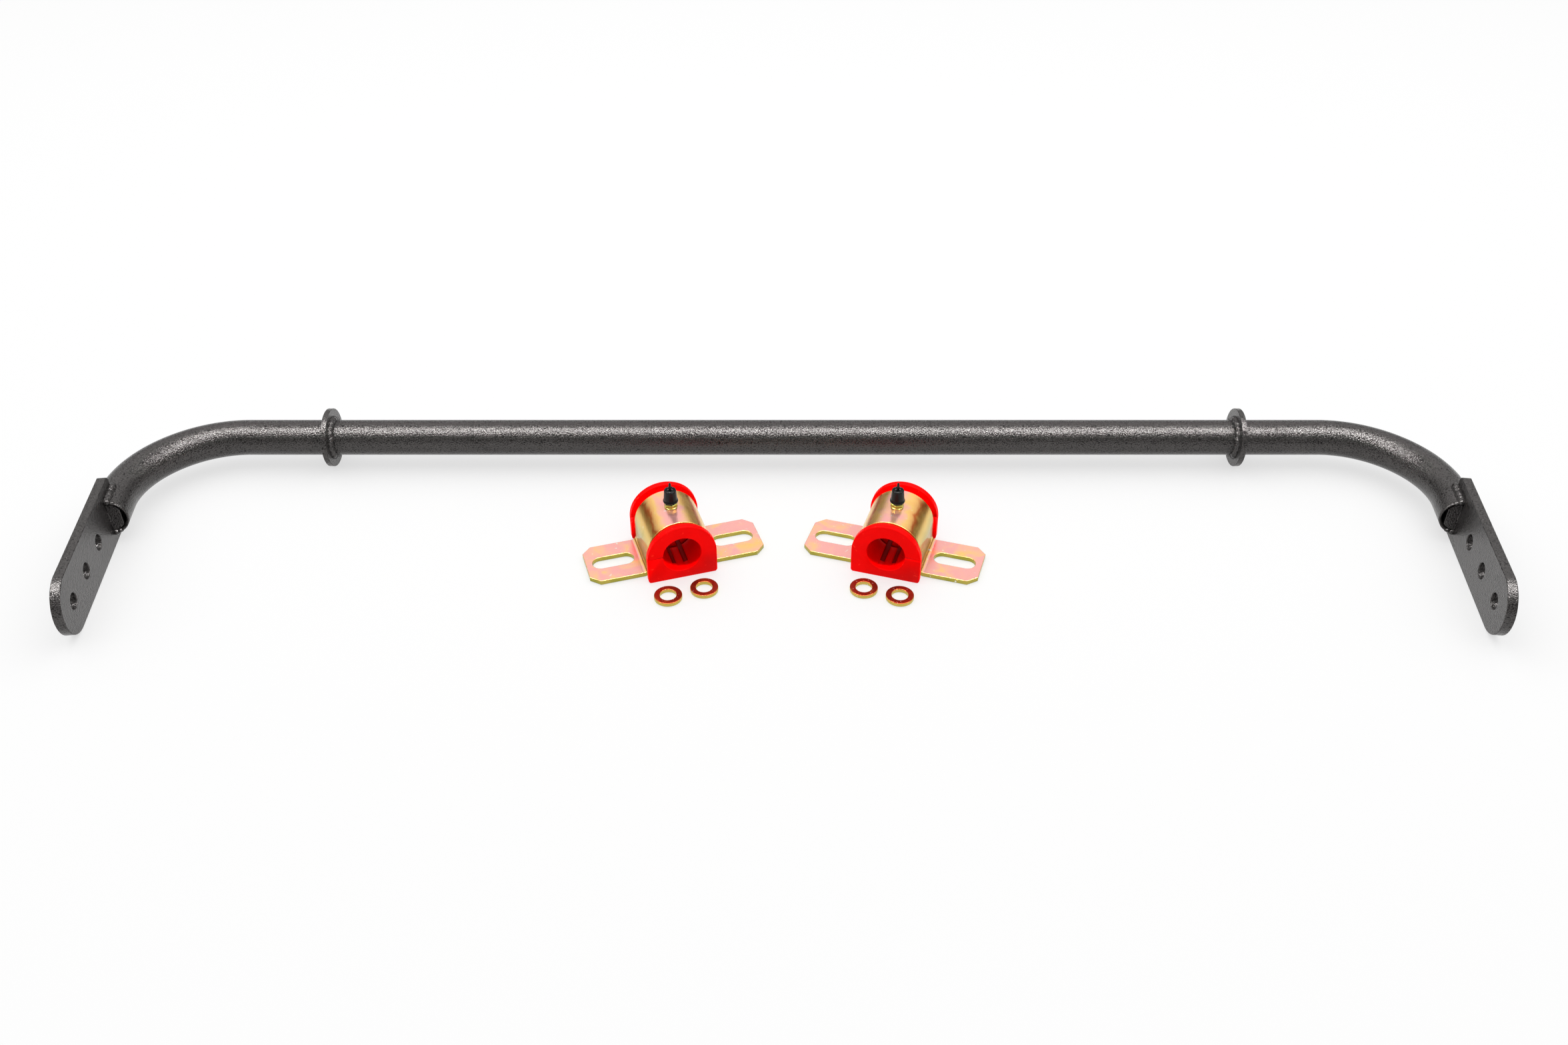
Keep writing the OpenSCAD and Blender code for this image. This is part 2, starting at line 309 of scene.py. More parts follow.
def flare_mouth(bm, arm):
    """Thins the rim at the mouth of the tube."""
    to_arm = arm.inverted()
    for vert in bm.verts:
        local = to_arm @ vert.co
        radius = math.hypot(*local.yz)
        if abs(local.x - ARM_L) < 0.05 and radius < BAR_R - 0.5:
            local.y *= MOUTH_R / radius
            local.z *= MOUTH_R / radius
            vert.co = arm @ local


def tube(bm):
    ring = circle(bm, BAR_R, 64, turn(90, "Y"))
    straight = sweep_edges(bm, ring, (-BEND_START, 0, 0))
    bend = bmesh.ops.spin(
        bm, geom=straight, cent=(-BEND_START, -BEND_R, 0), axis=(0, 0, 1),
        angle=math.radians(90 + TOE), steps=48,
    )
    edges = [item for item in bend["geom_last"] if isinstance(item, bmesh.types.BMEdge)]
    lean = math.radians(TOE)
    along = Vector((math.sin(lean), -math.cos(lean), 0))
    for length in (PLATE_START, ARM_L - PLATE_START - MOUTH_DEPTH, MOUTH_DEPTH):
        edges = sweep_edges(bm, edges, along * length)
    bmesh.ops.mirror(bm, geom=bm.verts[:] + bm.edges[:] + bm.faces[:], axis="X", merge_dist=0.01)
    close_up(bm)
    bmesh.ops.solidify(bm, geom=bm.faces[:], thickness=BAR_WALL)
    close_up(bm)
    for mirror in SIDES.values():
        arm = mirror @ AT_BAR.inverted() @ ON_LEFT_ARM
        flare_mouth(bm, arm)
        seat_cut(bm, arm)
    close_up(bm)


def collar(bm):
    turned(bm, [(BAR_R, 0), (COLLAR_R, 0), (COLLAR_R, COLLAR_T), (BAR_R, COLLAR_T)], 96)
    round_edges(bm, sharp_edges(bm), 0.4)


def collar_weld(bm):
    """A rippled bead in the corner between the tube and the inner face of the collar."""
    bead_r = 2.9
    ripples = 19
    corner = shift(BAR_R + 0.1, 0, -0.1) @ turn(90, "X")
    bmesh.ops.create_circle(bm, cap_ends=False, segments=14, radius=bead_r, matrix=corner)
    bmesh.ops.spin(
        bm, geom=bm.verts[:] + bm.edges[:], cent=(0, 0, 0), axis=(0, 0, 1),
        angle=math.tau, steps=ripples * 8, use_merge=True,
    )
    close_up(bm)
    for vert in bm.verts:
        around = math.atan2(vert.co.y, vert.co.x)
        ripple = math.sin(ripples * around + 0.8 * vert.co.z)
        sway = math.sin(5 * around + 1.3) + math.sin(8 * around + 0.4 * vert.co.z)
        vert.co += vert.normal * (0.22 * ripple + 0.14 * sway)


def end_plate(bm):
    """A flat bar with a round tip and three link holes, standing on edge beside the tube."""
    half = PLATE_W / 2
    corner = 2.2
    start = bm.verts.new((PLATE_START, 0, -half))
    foot = line_to(bm, start, (LINK_HOLES[-1], 0, -half))
    head = arc_to(bm, foot, (LINK_HOLES[-1], 0, 0), (0, -1, 0), 180, 40)
    top = line_to(bm, head, (PLATE_START + corner, 0, half))
    back = line_to(bm, top, (PLATE_START, 0, half - corner))
    bm.edges.new((back, start))
    for hole_x in LINK_HOLES:
        circle(bm, LINK_HOLE_R, 40, shift(hole_x, 0, 0) @ turn(90, "X"))
    fill(bm, bm.edges[:])
    thicken(bm, bm.faces[:], (0, -PLATE_T, 0))
    close_up(bm)
    bmesh.ops.dissolve_limit(bm, angle_limit=math.radians(1), verts=bm.verts, edges=bm.edges)
    round_edges(bm, sharp_edges(bm), 0.8)


def end_insert(bm):
    """The flat bar inside the mouth of the tube."""
    start = shift(INSERT_START, 0, 0) @ turn(90, "Y")
    bmesh.ops.create_circle(bm, cap_ends=True, segments=64, radius=BAR_R - BAR_WALL, matrix=start)
    for height, side in ((0, -1), (INSERT_T, 1)):
        bmesh.ops.bisect_plane(
            bm, geom=bm.verts[:] + bm.edges[:] + bm.faces[:], dist=0.001,
            plane_co=(0, height, 0), plane_no=(0, side, 0), clear_outer=True,
        )
    thicken(bm, bm.faces[:], (INSERT_L, 0, 0))
    close_up(bm)
    round_edges(bm, sharp_edges(bm), 0.4)


def plate_weld(bm):
    """Beads above and below the tube end, drops at its mouth, and a low bead beside the insert."""
    for side in (-1, 1):
        for n in range(6):
            sway = math.sin(2.1 * n + side)
            centre = (3.0 + 2.9 * n, 1.1 + 0.3 * sway, side * (BAR_R - 0.3 + 0.2 * sway))
            lump(bm, centre, 2.7, (1.5 + 0.2 * sway, 1.1, 0.95 + 0.08 * sway))
        lump(bm, (ARM_L - 1.2, 1.6, side * (BAR_R - 0.4)), 2.3, (1.0, 1.1, 0.9))
        lump(bm, (ARM_L - 1.0, 4.6, side * (BAR_R - 1.6)), 1.7, (1.0, 1.2, 0.8))
    lump(bm, (ARM_L - 1.6, 0.2, 0), 1.5, (1.0, 0.9, 7.0))


# ---------------------------------------------------------------- bushing

def arch_wire(bm, r, y, base):
    """A closed wire at y: an arch of radius r on straight legs, with rounded feet at base."""
    old = set(bm.edges)
    back = (0, -1, 0)
    heel = base + FOOT_R
    first = bm.verts.new((r - FOOT_R, y, base))
    foot = arc_to(bm, first, (r - FOOT_R, y, heel), back, 90, 4)
    spring = line_to(bm, foot, (r, y, ARCH_Z))
    far_spring = arc_to(bm, spring, (0, y, ARCH_Z), back, 180, 48)
    far_foot = line_to(bm, far_spring, (-r, y, heel))
    last = arc_to(bm, far_foot, (-r + FOOT_R, y, heel), back, 90, 4)
    bm.edges.new((last, first))
    return [edge for edge in bm.edges if edge not in old]


def bore_angle(point):
    """Degrees between a point in the bore and the top of it."""
    return math.degrees(math.atan2(abs(point.x), point.z - BORE_Z))


def in_a_groove(point):
    """Whether a point of the bore lies in the ring groove, in one along the bore, or in the pocket."""
    along = abs(point.y)
    from_top = bore_angle(point)
    in_ring = along < GROOVE_W / 2
    in_run = along < GROOVE_L / 2 and abs(180 - from_top - GROOVE_TURN) < GROOVE_SPAN
    in_pocket = along < POCKET_L / 2 and from_top < POCKET_SPAN
    return in_ring or in_run or in_pocket


def groove_faces(bm):
    found = []
    for face in bm.faces:
        middle = face.calc_center_median()
        in_bore = abs(math.hypot(middle.x, middle.z - BORE_Z) - BORE_R) < 0.2
        if in_bore and abs(face.normal.y) < 0.1 and in_a_groove(middle):
            found.append(face)
    return found


def sink(bm, faces):
    """Sets faces of the bore back into the wall and gives them the second finish, a darker red that
    paints shade into the grooves.
    """
    made = bmesh.ops.extrude_face_region(bm, geom=faces)["geom"]
    bmesh.ops.delete(bm, geom=faces, context="FACES")
    grow = (BORE_R + GROOVE_DEPTH) / BORE_R
    for item in made:
        if isinstance(item, bmesh.types.BMFace):
            item.material_index = 1
        if isinstance(item, bmesh.types.BMVert):
            item.co.x *= grow
            item.co.z = BORE_Z + (item.co.z - BORE_Z) * grow


def cut_slit(bm):
    """Opens the bushing from its bore to its outer side."""
    for side in (-1, 1):
        outer = [f for f in bm.faces if f.calc_center_median().x < 0 or f.calc_area() > 200]
        bmesh.ops.bisect_plane(
            bm, geom=outer + edges_of(bm, outer), dist=0.0001,
            plane_co=(0, 0, BORE_Z + side * SLIT_W / 2), plane_no=(0, 0, 1),
        )
    between = [
        f for f in bm.faces
        if f.calc_center_median().x < 0 and abs(f.calc_center_median().z - BORE_Z) < SLIT_W / 2 - 0.01
        and max(abs(v.co.z - BORE_Z) for v in f.verts) < SLIT_W / 2 + 0.01
    ]
    bmesh.ops.delete(bm, geom=between, context="FACES")
    for side in (-1, 1):
        height = BORE_Z + side * SLIT_W / 2
        open_edges = [e for e in bm.edges if e.is_boundary]
        rim = [e for e in open_edges if all(abs(v.co.z - height) < 0.01 for v in e.verts)]
        bmesh.ops.edgeloop_fill(bm, edges=rim)


def flat_cap_edges(bm):
    """Edges that lie inside the flat ends of the bushing and of its lips."""
    return [
        e for e in bm.edges
        if len(e.link_faces) == 2 and all(abs(f.normal.y) > 0.99 for f in e.link_faces)
    ]


def bushing(bm):
    front = -BUSHING_L / 2
    lip_end = front + LIP_T
    lip = arch_wire(bm, LIP_R, front, 0)
    bore = circle(bm, BORE_R, 72, shift(0, front, BORE_Z) @ turn(90, "X"))
    fill(bm, lip + bore)
    lip_back = sweep_edges(bm, lip, (0, LIP_T, 0))
    neck = arch_wire(bm, NECK_R, lip_end, NECK_LIFT)
    fill(bm, lip_back + neck)
    sweep_edges(bm, neck, (0, -lip_end, 0))
    stops = (front, -GROOVE_L / 2, -POCKET_L / 2, -GROOVE_W / 2, 0)
    for here, there in zip(stops, stops[1:]):
        bore = sweep_edges(bm, bore, (0, there - here, 0))
    bmesh.ops.mirror(bm, geom=bm.verts[:] + bm.edges[:] + bm.faces[:], axis="Y", merge_dist=0.001)
    close_up(bm)
    bmesh.ops.dissolve_limit(bm, angle_limit=math.radians(0.5), verts=bm.verts, edges=flat_cap_edges(bm))
    above_feet = [e for e in sharp_edges(bm) if max(v.co.z for v in e.verts) > 1]
    round_edges(bm, above_feet, 0.9)
    sink(bm, groove_faces(bm))
    cut_slit(bm)
    close_up(bm, 0.0005)


# ---------------------------------------------------------------- bracket

def ear_wire(bm):
    """The outline of an ear with clipped corners, from its fold to its end."""
    half = STRAP_W / 2
    fold_x = SADDLE_R + SHEET_T + FOLD_R
    start = bm.verts.new((fold_x, -half, 0))
    corner = line_to(bm, start, (EAR_REACH - EAR_CHAMFER, -half, 0))
    corner = line_to(bm, corner, (EAR_REACH, -half + EAR_CHAMFER, 0))
    corner = line_to(bm, corner, (EAR_REACH, half - EAR_CHAMFER, 0))
    corner = line_to(bm, corner, (EAR_REACH - EAR_CHAMFER, half, 0))
    end = line_to(bm, corner, (fold_x, half, 0))
    return bm.edges.new((end, start))


def slot_wire(bm):
    run = (SLOT_L - SLOT_W) / 2
    half = SLOT_W / 2
    up = (0, 0, 1)
    start = bm.verts.new((SLOT_X - run, -half, 0))
    near = line_to(bm, start, (SLOT_X + run, -half, 0))
    far = arc_to(bm, near, (SLOT_X + run, 0, 0), up, 180, 20)
    back = line_to(bm, far, (SLOT_X - run, half, 0))
    arc_to(bm, back, (SLOT_X - run, 0, 0), up, 180, 20)
    bmesh.ops.remove_doubles(bm, verts=bm.verts, dist=0.001)


def sheet_side(bm):
    """The sheet thickness, signed so that the sheet grows upwards from its underside."""
    ear = next(f for f in bm.faces if abs(f.calc_center_median().z) < 0.01)
    return -SHEET_T if ear.normal.z > 0 else SHEET_T


def bracket(bm):
    """Folded from one strip of sheet: ear, fold, leg and half of the saddle, then mirrored."""
    fold_outer = FOLD_R + SHEET_T
    ear_wire(bm)
    slot_wire(bm)
    fill(bm, bm.edges[:])
    inner = SADDLE_R + fold_outer
    strip = [e for e in bm.edges if all(abs(v.co.x - inner) < 0.01 for v in e.verts)]
    for centre, axis, steps in (
        ((inner, 0, fold_outer), (0, 1, 0), 8),
        ((0, 0, ARCH_Z), (0, -1, 0), 24),
    ):
        made = bmesh.ops.spin(
            bm, geom=strip, cent=centre, axis=axis, angle=math.radians(90), steps=steps
        )
        strip = [item for item in made["geom_last"] if isinstance(item, bmesh.types.BMEdge)]
        if steps == 8:
            strip = sweep_edges(bm, strip, (0, 0, ARCH_Z - fold_outer))
    bmesh.ops.mirror(bm, geom=bm.verts[:] + bm.edges[:] + bm.faces[:], axis="X", merge_dist=0.01)
    close_up(bm)
    # flat faces are joined before the sheet gets its thickness, so that every run makes the same mesh
    bmesh.ops.dissolve_limit(bm, angle_limit=math.radians(0.5), verts=bm.verts, edges=bm.edges)
    bmesh.ops.solidify(bm, geom=bm.faces[:], thickness=sheet_side(bm))
    close_up(bm)
    round_edges(bm, sharp_edges(bm), 0.55)


# ---------------------------------------------------------------- small parts

def grease_fitting(bm):
    shank = 3.0
    neck = 2.3
    head = 3.25
    throat = HEX_H + 1.4
    outline = [
        (0.8, -6.4), (shank, -6.4), (shank, 0), (HEX_AF / 2, 0), (HEX_AF / 2 + 0.35, 0.25),
        (HEX_AF / 2 + 0.35, 0.6), (HEX_AF / 2, FLANGE_H), (3.6, FLANGE_H), (3.6, HEX_H),
        (neck, HEX_H + 0.25), (neck, throat), (head, throat + 1.4), (head, throat + 2.5),
        (head - 0.3, throat + 3.0), (1.5, throat + 4.4), (0.8, throat + 4.4),
    ]
    turned(bm, outline, 48)
    nut = bmesh.ops.create_cone(
        bm, cap_ends=True, segments=6, radius1=HEX_AF / 2 / math.cos(math.radians(30)),
        radius2=HEX_AF / 2 / math.cos(math.radians(30)), depth=HEX_H - FLANGE_H,
        matrix=shift(0, 0, (HEX_H + FLANGE_H) / 2),
    )
    round_edges(bm, edges_between(bm, nut["verts"]), 0.35, 2)


def dust_cap(bm):
    """A rubber cap with a flared skirt, a rim round a dish, and a pull nib."""
    outline = [
        (0, 6.6), (3.4, 6.6), (3.4, 0),
        (4.9, 0), (5.0, 0.35), (4.95, 0.9), (4.55, 1.5), (4.45, 2.0), (3.98, 8.2),
        (3.85, 8.75), (3.5, 9.0), (3.15, 8.9), (2.85, 8.4), (2.7, 7.8), (1.3, 7.6),
        (0.9, 8.1), (0.78, 9.5), (0.9, 12.4), (0.86, 13.6), (0.5, 14.3), (0, 14.5),
    ]
    turned(bm, outline, 48)
    for vert in bm.verts:
        above = vert.co.z - 8.0
        if above > 0 and math.hypot(vert.co.x, vert.co.y) < 1.0:
            vert.co.y *= 1 - 0.03 * above


def check_spring(bm):
    """The coil of round wire under the check ball."""
    steps_per_coil = 24
    rise = (SPRING_TOP - SPRING_FOOT - 2 * SPRING_WIRE_R) / SPRING_COILS
    bmesh.ops.create_circle(
        bm, cap_ends=False, segments=10, radius=SPRING_WIRE_R,
        matrix=shift(SPRING_R, 0, SPRING_FOOT + SPRING_WIRE_R) @ turn(90, "X"),
    )
    bmesh.ops.spin(
        bm, geom=bm.verts[:] + bm.edges[:], cent=(0, 0, 0), axis=(0, 0, 1),
        dvec=(0, 0, rise / steps_per_coil), angle=math.tau * SPRING_COILS,
        steps=steps_per_coil * SPRING_COILS,
    )
    bmesh.ops.holes_fill(bm, edges=[e for e in bm.edges if e.is_boundary])
    close_up(bm, 0.0001)


def washer(bm):
    turned(
        bm,
        [(WASHER_HOLE_R, 0), (WASHER_R, 0), (WASHER_R, WASHER_T), (WASHER_HOLE_R, WASHER_T)],
        64,
    )
    round_edges(bm, sharp_edges(bm), 0.5)


# ---------------------------------------------------------------- shader tools

class Shader:
    """A node tree with short calls for making and joining nodes."""

    def __init__(self, tree):
        self.tree = tree
        self.nodes = tree.nodes

    def add(self, kind, **values):
        node = self.nodes.new(kind)
        for name, value in values.items():
            setattr(node, name, value)
        return node

    def join(self, source, target):
        self.tree.links.new(source, target)

    def noise(self, where, scale, detail=3.0, roughness=0.5, distortion=0.0):
        node = self.add("ShaderNodeTexNoise")
        node.inputs["Scale"].default_value = scale
        node.inputs["Detail"].default_value = detail
        node.inputs["Roughness"].default_value = roughness
        node.inputs["Distortion"].default_value = distortion
        self.join(where, node.inputs["Vector"])
        return node.outputs["Fac"]

    def cells(self, where, scale, smooth=1.0):
        node = self.add("ShaderNodeTexVoronoi", feature="SMOOTH_F1")
        node.inputs["Scale"].default_value = scale
        node.inputs["Smoothness"].default_value = smooth
        self.join(where, node.inputs["Vector"])
        return node.outputs["Distance"]

    def spread(self, value, low, high, new_low=0.0, new_high=1.0):
        node = self.add("ShaderNodeMapRange")
        node.inputs["From Min"].default_value = low
        node.inputs["From Max"].default_value = high
        node.inputs["To Min"].default_value = new_low
        node.inputs["To Max"].default_value = new_high
        self.join(value, node.inputs["Value"])
        return node.outputs["Result"]

    def ramp(self, value, stops):
        node = self.add("ShaderNodeValToRGB")
        band = node.color_ramp
        while len(band.elements) < len(stops):
            band.elements.new(0.5)
        for element, (place, colour) in zip(band.elements, stops):
            element.position = place
            element.color = (*colour, 1)
        self.join(value, node.inputs["Fac"])
        return node.outputs["Color"]

    def sum(self, first, second, share=1.0):
        node = self.add("ShaderNodeMath", operation="MULTIPLY_ADD")
        self.join(second, node.inputs[0])
        node.inputs[1].default_value = share
        self.join(first, node.inputs[2])
        return node.outputs[0]

    def blend(self, share, first, second):
        node = self.add("ShaderNodeMix", data_type="RGBA")
        self.join(share, node.inputs["Factor"])
        for value, socket in ((first, node.inputs[6]), (second, node.inputs[7])):
            if isinstance(value, tuple):
                socket.default_value = (*value, 1)
            else:
                self.join(value, socket)
        return node.outputs[2]

    def bump(self, height, depth, strength=1.0):
        node = self.add("ShaderNodeBump")
        node.inputs["Distance"].default_value = depth
        node.inputs["Strength"].default_value = strength
        self.join(height, node.inputs["Height"])
        return node.outputs["Normal"]


def new_group(name, outputs):
    """A node group that reads a place on the piece and puts out values."""
    tree = bpy.data.node_groups.new(name, "ShaderNodeTree")
    tree.interface.new_socket("Place", in_out="INPUT", socket_type="NodeSocketVector")
    scale = tree.interface.new_socket("Scale", in_out="INPUT", socket_type="NodeSocketFloat")
    scale.default_value = 1.0
    for output in outputs:
        tree.interface.new_socket(output, in_out="OUTPUT", socket_type="NodeSocketFloat")
    shader = Shader(tree)
    start = shader.add("NodeGroupInput")
    sized = shader.add("ShaderNodeVectorMath", operation="SCALE")
    shader.join(start.outputs["Place"], sized.inputs[0])
    shader.join(start.outputs["Scale"], sized.inputs["Scale"])
    end = shader.add("NodeGroupOutput")
    return tree, shader, sized.outputs["Vector"], end


def make_handling_marks():
    """Cloudy tone, fine grain and small nicks, used by every finish."""
    tree, shader, place, end = new_group("handling_marks", ("Cloud", "Grain", "Nicks"))
    shader.join(shader.noise(place, 55, 4, 0.55), end.inputs["Cloud"])
    shader.join(shader.noise(place, 1900, 3, 0.6), end.inputs["Grain"])
    specks = shader.noise(place, 420, 2, 0.4, 0.6)
    shader.join(shader.spread(specks, 0.70, 0.76), end.inputs["Nicks"])
    return tree


def start_material(name, marks_scale=1.0):
    """A material with its shader, its place on the piece and its handling marks."""
    material = bpy.data.materials.new(name)
    material.use_nodes = True
    shader = Shader(material.node_tree)
    surface = shader.nodes["Principled BSDF"]
    place = shader.add("ShaderNodeTexCoord").outputs["Object"]
    marks = shader.add("ShaderNodeGroup", node_tree=HANDLING_MARKS)
    marks.inputs["Scale"].default_value = marks_scale
    shader.join(place, marks.inputs["Place"])
    return material, shader, surface, place, marks.outputs


def set_sockets(surface, **values):
    """Sets plain numbers on the shader. An underscore stands for a space in a socket's name."""
    for name, value in values.items():
        surface.inputs[name.replace("_", " ")].default_value = value


def set_roughness(shader, surface, mark, low, high):
    """Spreads roughness between two values by one of the handling marks."""
    shader.join(shader.spread(mark, 0.3, 0.7, low, high), surface.inputs["Roughness"])


def set_bump(shader, surface, height, depth, strength=1.0):
    shader.join(shader.bump(height, depth, strength), surface.inputs["Normal"])


# ---------------------------------------------------------------- finishes

def make_powder_coat():
    """Charcoal hammertone: a pebbled film with a metallic glint."""
    material, shader, surface, place, marks = start_material("charcoal_hammertone")
    pebbles = shader.cells(place, 1300)
    fine = shader.noise(place, 2100, 3, 0.65)
    # the colour follows the pebble height: the valleys are painted darker as shade and the tops lighter
    height = shader.sum(shader.spread(pebbles, 0.1, 0.75, 1, 0), fine, 0.7)
    colour = shader.ramp(height, [(0.35, (0.006, 0.005, 0.005)), (0.92, (0.082, 0.077, 0.075))])
    dull = shader.spread(marks["Cloud"], 0.3, 0.7, 0.0, 0.2)
    shader.join(shader.blend(dull, colour, (0.026, 0.025, 0.024)), surface.inputs["Base Color"])
    set_roughness(shader, surface, marks["Grain"], 0.13, 0.24)
    set_bump(shader, surface, height, 0.00016)
    set_sockets(surface, Metallic=0.75)
    return material


def make_zinc(name, colours, roughness, marks_scale=1.0):
    """Yellow chromate over zinc. The colour bands follow the slope of the sheet and drift in clouds; the
    hues are the chromate's own, but ordering them by slope paints light and shade into the base colour.
    """
    material, shader, surface, place, marks = start_material(name, marks_scale)
    slope = shader.add("ShaderNodeSeparateXYZ")
    normal = shader.add("ShaderNodeTexCoord").outputs["Normal"]
    shader.join(normal, slope.inputs[0])
    drift = shader.noise(place, 60 * marks_scale, 3, 0.5, 0.8)
    # the upward slope picks the colour, which paints light and shade into the sheet
    band = shader.sum(slope.outputs["Z"], drift, 0.5)
    colour = shader.ramp(shader.spread(band, -0.1, 1.4), colours)
    worn = shader.blend(marks["Nicks"], colour, (0.75, 0.73, 0.66))
    shader.join(worn, surface.inputs["Base Color"])
    set_roughness(shader, surface, marks["Cloud"], roughness - 0.05, roughness + 0.08)
    set_bump(shader, surface, shader.sum(marks["Grain"], marks["Cloud"], 2.0), 0.00006, 0.6)
    set_sockets(surface, Metallic=0.9)
    return material


def make_urethane(name, dark, light):
    """Cast red polyurethane, deep in colour and hardly glossy."""
    material, shader, surface, place, marks = start_material(name)
    tone = shader.ramp(marks["Cloud"], [(0.3, dark), (0.7, light)])
    shader.join(shader.blend(marks["Nicks"], tone, (0.98, 0.02, 0.01)), surface.inputs["Base Color"])
    set_roughness(shader, surface, marks["Grain"], 0.34, 0.46)
    set_bump(shader, surface, shader.sum(marks["Grain"], marks["Cloud"], 3.0), 0.00008, 0.5)
    set_sockets(surface, Specular_IOR_Level=0.04)
    return material


def make_rubber():
    """Soft black rubber with a satin glint."""
    material, shader, surface, place, marks = start_material("soft_black_rubber", 2.0)
    tone = shader.ramp(marks["Cloud"], [(0.3, (0.002, 0.002, 0.002)), (0.7, (0.006, 0.006, 0.006))])
    shader.join(tone, surface.inputs["Base Color"])
    set_roughness(shader, surface, marks["Grain"], 0.20, 0.34)
    set_bump(shader, surface, marks["Grain"], 0.00005, 0.5)
    set_sockets(surface, Specular_IOR_Level=0.22)
    return material


def make_steel(name, tone, roughness):
    """Bare steel, lightly clouded."""
    material, shader, surface, place, marks = start_material(name, 3.0)
    colour = shader.ramp(marks["Cloud"], [(0.3, tuple(0.85 * c for c in tone)), (0.7, tone)])
    shader.join(colour, surface.inputs["Base Color"])
    set_roughness(shader, surface, marks["Grain"], roughness, roughness + 0.1)
    set_sockets(surface, Metallic=1.0)
    return material


# Set by slope: the dark olive of upright faces is painted shade, the brown-red stop at 0.71 is a painted
# reflection of the dark horizon on the saddle shoulders, and the pink and gold of upward faces are
# chromate hues placed where light falls.
BRACKET_HUES_AND_PAINTED_LIGHT = [
    (0.00, (0.16, 0.19, 0.02)),
    (0.20, (0.36, 0.33, 0.05)),
    (0.48, (0.74, 0.52, 0.15)),
    (0.64, (0.84, 0.48, 0.12)),
    (0.71, (0.66, 0.15, 0.03)),
    (0.76, (0.88, 0.46, 0.15)),
    (0.83, (0.90, 0.56, 0.18)),
    (0.88, (0.90, 0.49, 0.32)),
    (0.92, (0.88, 0.42, 0.38)),
]
# Set by slope: the darker olive of upright faces is painted shade, and the bright yellow-green of upward
# faces such as the flange is a painted highlight on the fitting's yellow-green hue.
FITTING_HUES_AND_PAINTED_LIGHT = [
    (0.00, (0.42, 0.36, 0.06)),
    (0.50, (0.72, 0.72, 0.14)),
    (0.90, (0.84, 0.90, 0.28)),
]
# Set by slope: the red to dark red of the upward faces is a painted reflection of the red bushings, and
# the gold of upright faces is the chromate's hue.
WASHER_HUES_AND_PAINTED_REFLECTION = [
    (0.00, (0.40, 0.36, 0.06)),
    (0.30, (0.62, 0.46, 0.10)),
    (0.70, (0.52, 0.16, 0.04)),
    (0.88, (0.26, 0.022, 0.01)),
]

HANDLING_MARKS = make_handling_marks()
powder_coat = make_powder_coat()
bracket_zinc = make_zinc("yellow_zinc_sheet", BRACKET_HUES_AND_PAINTED_LIGHT, 0.20)
fitting_zinc = make_zinc("yellow_green_fitting", FITTING_HUES_AND_PAINTED_LIGHT, 0.16, 3.0)
washer_zinc = make_zinc("washer_zinc", WASHER_HUES_AND_PAINTED_REFLECTION, 0.30, 2.0)
urethane = make_urethane("red_urethane", (0.80, 0.0, 0.0), (0.95, 0.0, 0.0))
# the darker red of the groove walls is painted shade, not a colour of the urethane
groove_shade_urethane = make_urethane("red_urethane_painted_groove_shade", (0.22, 0.0, 0.0), (0.34, 0.0, 0.0))
rubber = make_rubber()
ball_steel = make_steel("polished_ball_steel", (0.75, 0.75, 0.77), 0.08)
spring_steel = make_steel("drawn_spring_wire", (0.52, 0.52, 0.54), 0.25)


# ---------------------------------------------------------------- stage

def make_camera():
    look_down = 0.640
    data = bpy.data.cameras.new("camera")
    data.lens = 32.04
    data.sensor_width = 36
    data.clip_start = 0.05
    data.clip_end = 40
    camera = bpy.data.objects.new("camera", data)
    camera.location = (0, -0.7576, 0.5771)
    camera.rotation_euler = (math.pi / 2 - look_down, 0, 0)
    bpy.context.scene.collection.objects.link(camera)
    bpy.context.scene.camera = camera


def make_floor():
    """A pale floor that glows a little, so that the shadows on it stay light."""
    half_width = 12
    below_kit = 0.0002
    bm = bmesh.new()
    bmesh.ops.create_grid(bm, x_segments=2, y_segments=2, size=half_width)
    mesh = bpy.data.meshes.new("floor")
    bm.to_mesh(mesh)
    bm.free()
    floor = bpy.data.objects.new("floor", mesh)
    floor.location.z = -below_kit
    bpy.context.scene.collection.objects.link(floor)
    material = bpy.data.materials.new("pale_floor")
    material.use_nodes = True
    set_sockets(
        material.node_tree.nodes["Principled BSDF"],
        Base_Color=(0.36, 0.36, 0.36, 1), Emission_Color=(1, 1, 1, 1), Emission_Strength=0.64,
        Roughness=0.9, Specular_IOR_Level=0.0,
    )
    mesh.materials.append(material)
    return floor


def add_softbox(name, place, target, size, power):
    data = bpy.data.lights.new(name, "AREA")
    data.shape = "RECTANGLE"
    data.size, data.size_y = size
    data.energy = power
    light = bpy.data.objects.new(name, data)
    light.location = place
    aim = Vector(target) - Vector(place)
    light.rotation_euler = aim.to_track_quat("-Z", "Y").to_euler()
    bpy.context.scene.collection.objects.link(light)
    return light


